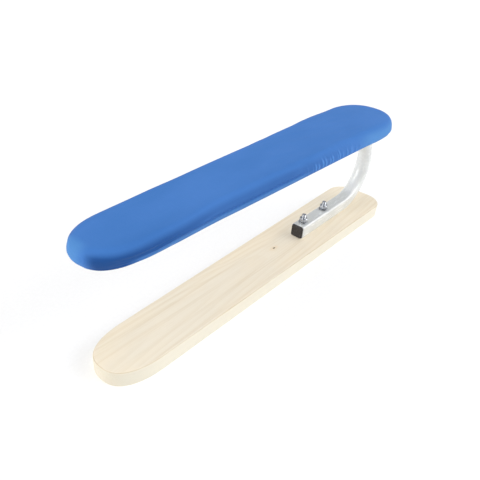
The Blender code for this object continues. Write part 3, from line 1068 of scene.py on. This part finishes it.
def swollen(obj, pinned, cap, calm=None):
    """Blow the cloth out with Cloth, holding pinned vertices, then ease each move under cap."""
    group = obj.vertex_groups.new(name="held")
    for index, weight in pinned:
        group.add([int(index)], float(weight), "REPLACE")
    before, _ = vertex_arrays(obj.data)
    cloth = obj.modifiers.new("cloth", "CLOTH")
    for key, value in CLOTH_SETTINGS.items():
        setattr(cloth.settings, key, value)
    cloth.settings.effector_weights.gravity = 0.0
    cloth.collision_settings.use_collision = False
    cloth.collision_settings.use_self_collision = False
    scene = bpy.context.scene
    for timed in (scene, cloth.point_cache):
        timed.frame_start, timed.frame_end = 1, SIM_FRAMES
    for step in range(1, SIM_FRAMES + 1):
        scene.frame_set(step)
    baked(obj)
    scene.frame_set(1)
    after, _ = vertex_arrays(obj.data)
    move = after - before
    if calm is not None:
        move = settled(obj.data, move, calm)
    size = np.maximum(np.linalg.norm(move, axis=1), 1e-9)[:, None]
    move_vertices(obj.data, before + move * cap * np.tanh(size / cap) / size)


def make_cover(cloth_material, thread_material):
    """The cover: gathered, blown out by the simulation, rumpled, then given its thickness."""
    points, faces, outline = cover_sheet()
    mesh = bpy.data.meshes.new("fabric_cover_sheet")
    mesh.from_pydata([tuple(p) for p in points], [], faces)
    bm = bmesh.new()
    bm.from_mesh(mesh)
    bpy.data.meshes.remove(mesh)
    bmesh.ops.recalc_face_normals(bm, faces=bm.faces)
    cover = new_object("fabric_cover_cloth", bm, cloth_material)
    if cover.data.polygons[0].normal.z < 0:
        cover.data.flip_normals()
    places, crest = gather(*vertex_arrays(cover.data))
    move_vertices(cover.data, places)
    attribute = cover.data.attributes.new(CREST, "FLOAT", "POINT")
    attribute.data.foreach_set("value", crest.astype(np.float32))

    z = places[:, 2]
    held = np.where(z < COVER_FLOOR + 0.0012, 1.0, 0.0)
    held = np.maximum(held, np.where(np.abs(z - CREASE_Z) < 0.0012, 0.9, 0.0))
    held = np.maximum(held, np.clip((COVER_FLOOR + 0.006 - z) / 0.006, 0, 1) * 0.8)
    calm = between(z, COVER_HIGH.z - 0.0045, 1.0, 0.004)
    swollen(cover, enumerate(held), COVER_CAP, calm)

    places, normals = vertex_arrays(cover.data)
    x, y, z = places.T
    on_top = between(z, COVER_HIGH.z - 0.008, 1.0, 0.006)
    on_side = (1 - on_top) * (z > COVER_FLOOR + 0.002)
    drag = between(x, -0.005, 0.135, 0.05) * on_top
    slant = np.column_stack((x, y + 0.20 * x, z))
    shift = 0.00030 * drag * rumple(slant, (14, 170, 60), 1)
    shift += 0.00016 * on_top * rumple(places, (34, 40, 30), 2)
    shift += 0.00022 * on_side * rumple(places, (60, 60, 60), 3)
    shift += 0.00018 * on_side * rumple(places, (150, 150, 150), 4)
    move_vertices(cover.data, places + normals * shift[:, None])
    solid = cover.modifiers.new("thickness", "SOLIDIFY")
    solid.thickness = CLOTH
    solid.offset = -1
    baked(cover)
    cover.data.shade_smooth()
    seat(cover, "blue_cotton", "fabric_cover")
    make_stitches(outline, thread_material)


def make_stitches(outline, material):
    """Lockstitches along the hem, each a small rounded bar laid on the cloth's outer face."""
    inset = STITCH_INSET + 0.0012
    ring = outline.ring(inset, COVER_FLOOR - 0.00068 - ruffles(outline, inset))
    loop = np.concatenate((ring, ring[:1]))
    step = np.linalg.norm(np.diff(loop, axis=0), axis=1)
    along = np.concatenate(((0.0,), np.cumsum(step)))
    pitch, share, radius = 0.0028, 0.72, 0.00026
    number = int(along[-1] / pitch)
    bm = bmesh.new()
    for i in range(number):
        start = along[-1] * i / number
        centre = []
        for part in np.linspace(0, 1, 4):
            at = start + along[-1] / number * share * part
            centre.append(Vector([np.interp(at, along, loop[:, axis]) for axis in range(3)]))
        forward = (centre[-1] - centre[0]).normalized()
        across = forward.cross(Vector((0, 0, 1))).normalized()
        bar = []
        for p, grow in zip(centre, (0.45, 1.0, 1.0, 0.45)):
            size, lift = radius * grow, 0.0003 * (1 - grow)
            bar.append([])
            for angle in sweep(6, 2 * math.pi)[:-1]:
                up = Vector((0, 0, size * 0.8 * math.sin(angle) + lift))
                bar[-1].append(p + across * (size * math.cos(angle)) + up)
        skin(bar, bm=bm)
    return seat(new_object("hem_stitching", bm, material), "blue_cotton")


# ---- pad, core and elastic


def band_rings(levels):
    """Rings for a closed shape that follows the top's outline, from (inset, z) levels."""
    return [[(x, y, z) for x, y in top_outline(inset, 20, 60)] for inset, z in levels]


def make_foam(material):
    """The foam pad: a cut sheet that caps the core, a little swollen between its edges."""
    low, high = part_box("foam_pad")
    side, round_over, crown = 0.0030, 0.0045, high.z - 0.0030
    levels = [(0.0062, CORE_HIGH.z + 0.0003), (0.0040, CORE_HIGH.z + 0.0001)]
    levels += [(side, low.z + 0.0060), (side, low.z + 0.0085)]
    levels += [(side + a, crown - (round_over - a) * 0.55) for a, _ in quarter(round_over, 4)]
    levels += [(0.0095, crown)]
    pad = new_object("foam_pad_cut", skin(band_rings(levels), strips=True), material)
    remesh = pad.modifiers.new("remesh", "REMESH")
    remesh.mode = "VOXEL"
    remesh.voxel_size = 0.004
    baked(pad)
    places, _ = vertex_arrays(pad.data)
    resting = [(i, 1.0) for i, p in enumerate(places) if p[2] < CORE_HIGH.z + 0.0015]
    swollen(pad, resting, FOAM_CAP)
    places, normals = vertex_arrays(pad.data)
    shift = 0.00015 * rumple(places, (220, 220, 220), 6)
    move_vertices(pad.data, places + normals * shift[:, None])
    pad.data.shade_smooth()
    seat(pad, "foam", "foam_pad")


def make_core(material):
    """The plywood core, with the sawn edge eased and holes and recesses for its bolts."""
    levels = soft_edged(CORE_LOW, CORE_HIGH, 0.005, 0.0012, 4)
    core = new_object("top_board_plywood", skin(band_rings(levels), strips=True), material)
    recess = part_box("top_bolt_front")[1].z - HEAD_HEIGHT - 0.0004
    neck = recess - NECK_RECESS[1]
    steps = (
        (BOLT_HOLE, CORE_LOW.z - CLEAR, neck),
        (NECK_RECESS[0], neck, recess),
        (HEAD_RECESS, recess, CORE_HIGH.z + CLEAR),
    )
    drill(core, [hole_cutter(x, steps) for x in bolt_places()])
    seat(core, "plywood_core", "top_board")


def make_elastic(material):
    """The flat elastic in the hem: a soft-edged band, its height a little uneven."""
    low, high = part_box("hem_elastic")
    middle, half_thick, half_wide = (low.z + high.z) / 2, (high.z - low.z) / 2, 0.0015
    rings = []
    for angle in sweep(16, 2 * math.pi)[:-1]:
        across = half_wide + half_wide * signed_power(math.cos(angle), 0.35)
        z = middle + half_thick * signed_power(math.sin(angle), 0.6)
        line = top_outline(HEM_INSET - 0.0040 + across, 40, 220)
        rings.append([(x, y, z + 0.00005 * math.sin(i * 1.7)) for i, (x, y) in enumerate(line)])
    band = new_object("hem_elastic_band", skin(rings, joined=True), material)
    seat(band, "white_elastic", "hem_elastic")


# ---- stage and light


def make_stage():
    """The floor, and a tent of light round it: white to the camera, dimmer at its open side."""
    bm = bmesh.new()
    bmesh.ops.create_grid(bm, x_segments=24, y_segments=24, size=7.0)
    new_object("floor", bm, floor_paper())
    world = bpy.data.worlds.new("studio")
    bpy.context.scene.world = world
    world.use_nodes = True
    tent = Nodes(world.node_tree)
    way = tent.add("ShaderNodeTexCoord").outputs["Generated"]
    toward = tent.add("ShaderNodeVectorMath", {0: way, 1: OPEN_SIDE}, operation="DOT_PRODUCT")
    shade = tent.spread(toward.outputs["Value"], 0.35, 0.95, 0.62, 0.36)
    ray = tent.add("ShaderNodeLightPath").outputs["Is Camera Ray"]
    seen = tent.add("ShaderNodeMix", {"Factor": ray, "A": shade, "B": 1.0})
    background = world.node_tree.nodes["Background"]
    tent.put(background.inputs["Color"], (1.0, 1.0, 1.0, 1.0))
    tent.put(background.inputs["Strength"], seen.outputs["Result"])


def make_lights():
    """A wide softbox on two sides, each with a fill from the same way that casts no shadow."""
    for name, aim in (("left", (0.92, -0.35, -0.50)), ("right", (-0.55, 0.85, -0.45))):
        for kind, energy, shadow in (("key", 0.62, True), ("fill", 1.66, False)):
            data = bpy.data.lights.new(f"{name}_{kind}", "SUN")
            data.energy = energy
            data.angle = math.radians(50)
            data.use_shadow = shadow
            light = linked(data.name, data)
            light.rotation_euler = Vector(aim).to_track_quat("-Z", "Y").to_euler()


def make_camera():
    """The camera looks down at the free end and along the boards."""
    data = bpy.data.cameras.new("camera")
    data.sensor_width = 36.0
    data.lens = 38.216
    camera = linked("camera", data)
    heading, tilt, roll = (math.radians(angle) for angle in (-53.053, 33.271, 5.013))
    place = Matrix.Translation((-0.42934, -0.28417, 0.38023))
    turn = Matrix.Rotation(heading, 4, "Z") @ Matrix.Rotation(math.pi / 2 - tilt, 4, "X")
    camera.matrix_world = place @ turn @ Matrix.Rotation(roll, 4, "Z")
    bpy.context.scene.camera = camera


def main():
    bpy.context.scene.view_settings.view_transform = "Standard"
    make_camera()
    make_stage()
    make_lights()
    # sides: the base's sides, a tone of painted light
    early, late, sides = rgb(230, 221, 203), rgb(208, 191, 160), rgb(217, 212, 197)
    make_base_board(pine("pale_pine", early, late, sides, KNOT))
    make_arm_tube(grey_paint())
    plastic = black_plastic()
    for node in ("lower_end_plug", "upper_end_plug"):
        make_plug(node, plastic)
    make_fasteners(zinc())
    make_core(plywood())
    make_foam(foam())
    make_elastic(elastic())
    make_cover(blue_cloth(), thread())


main()
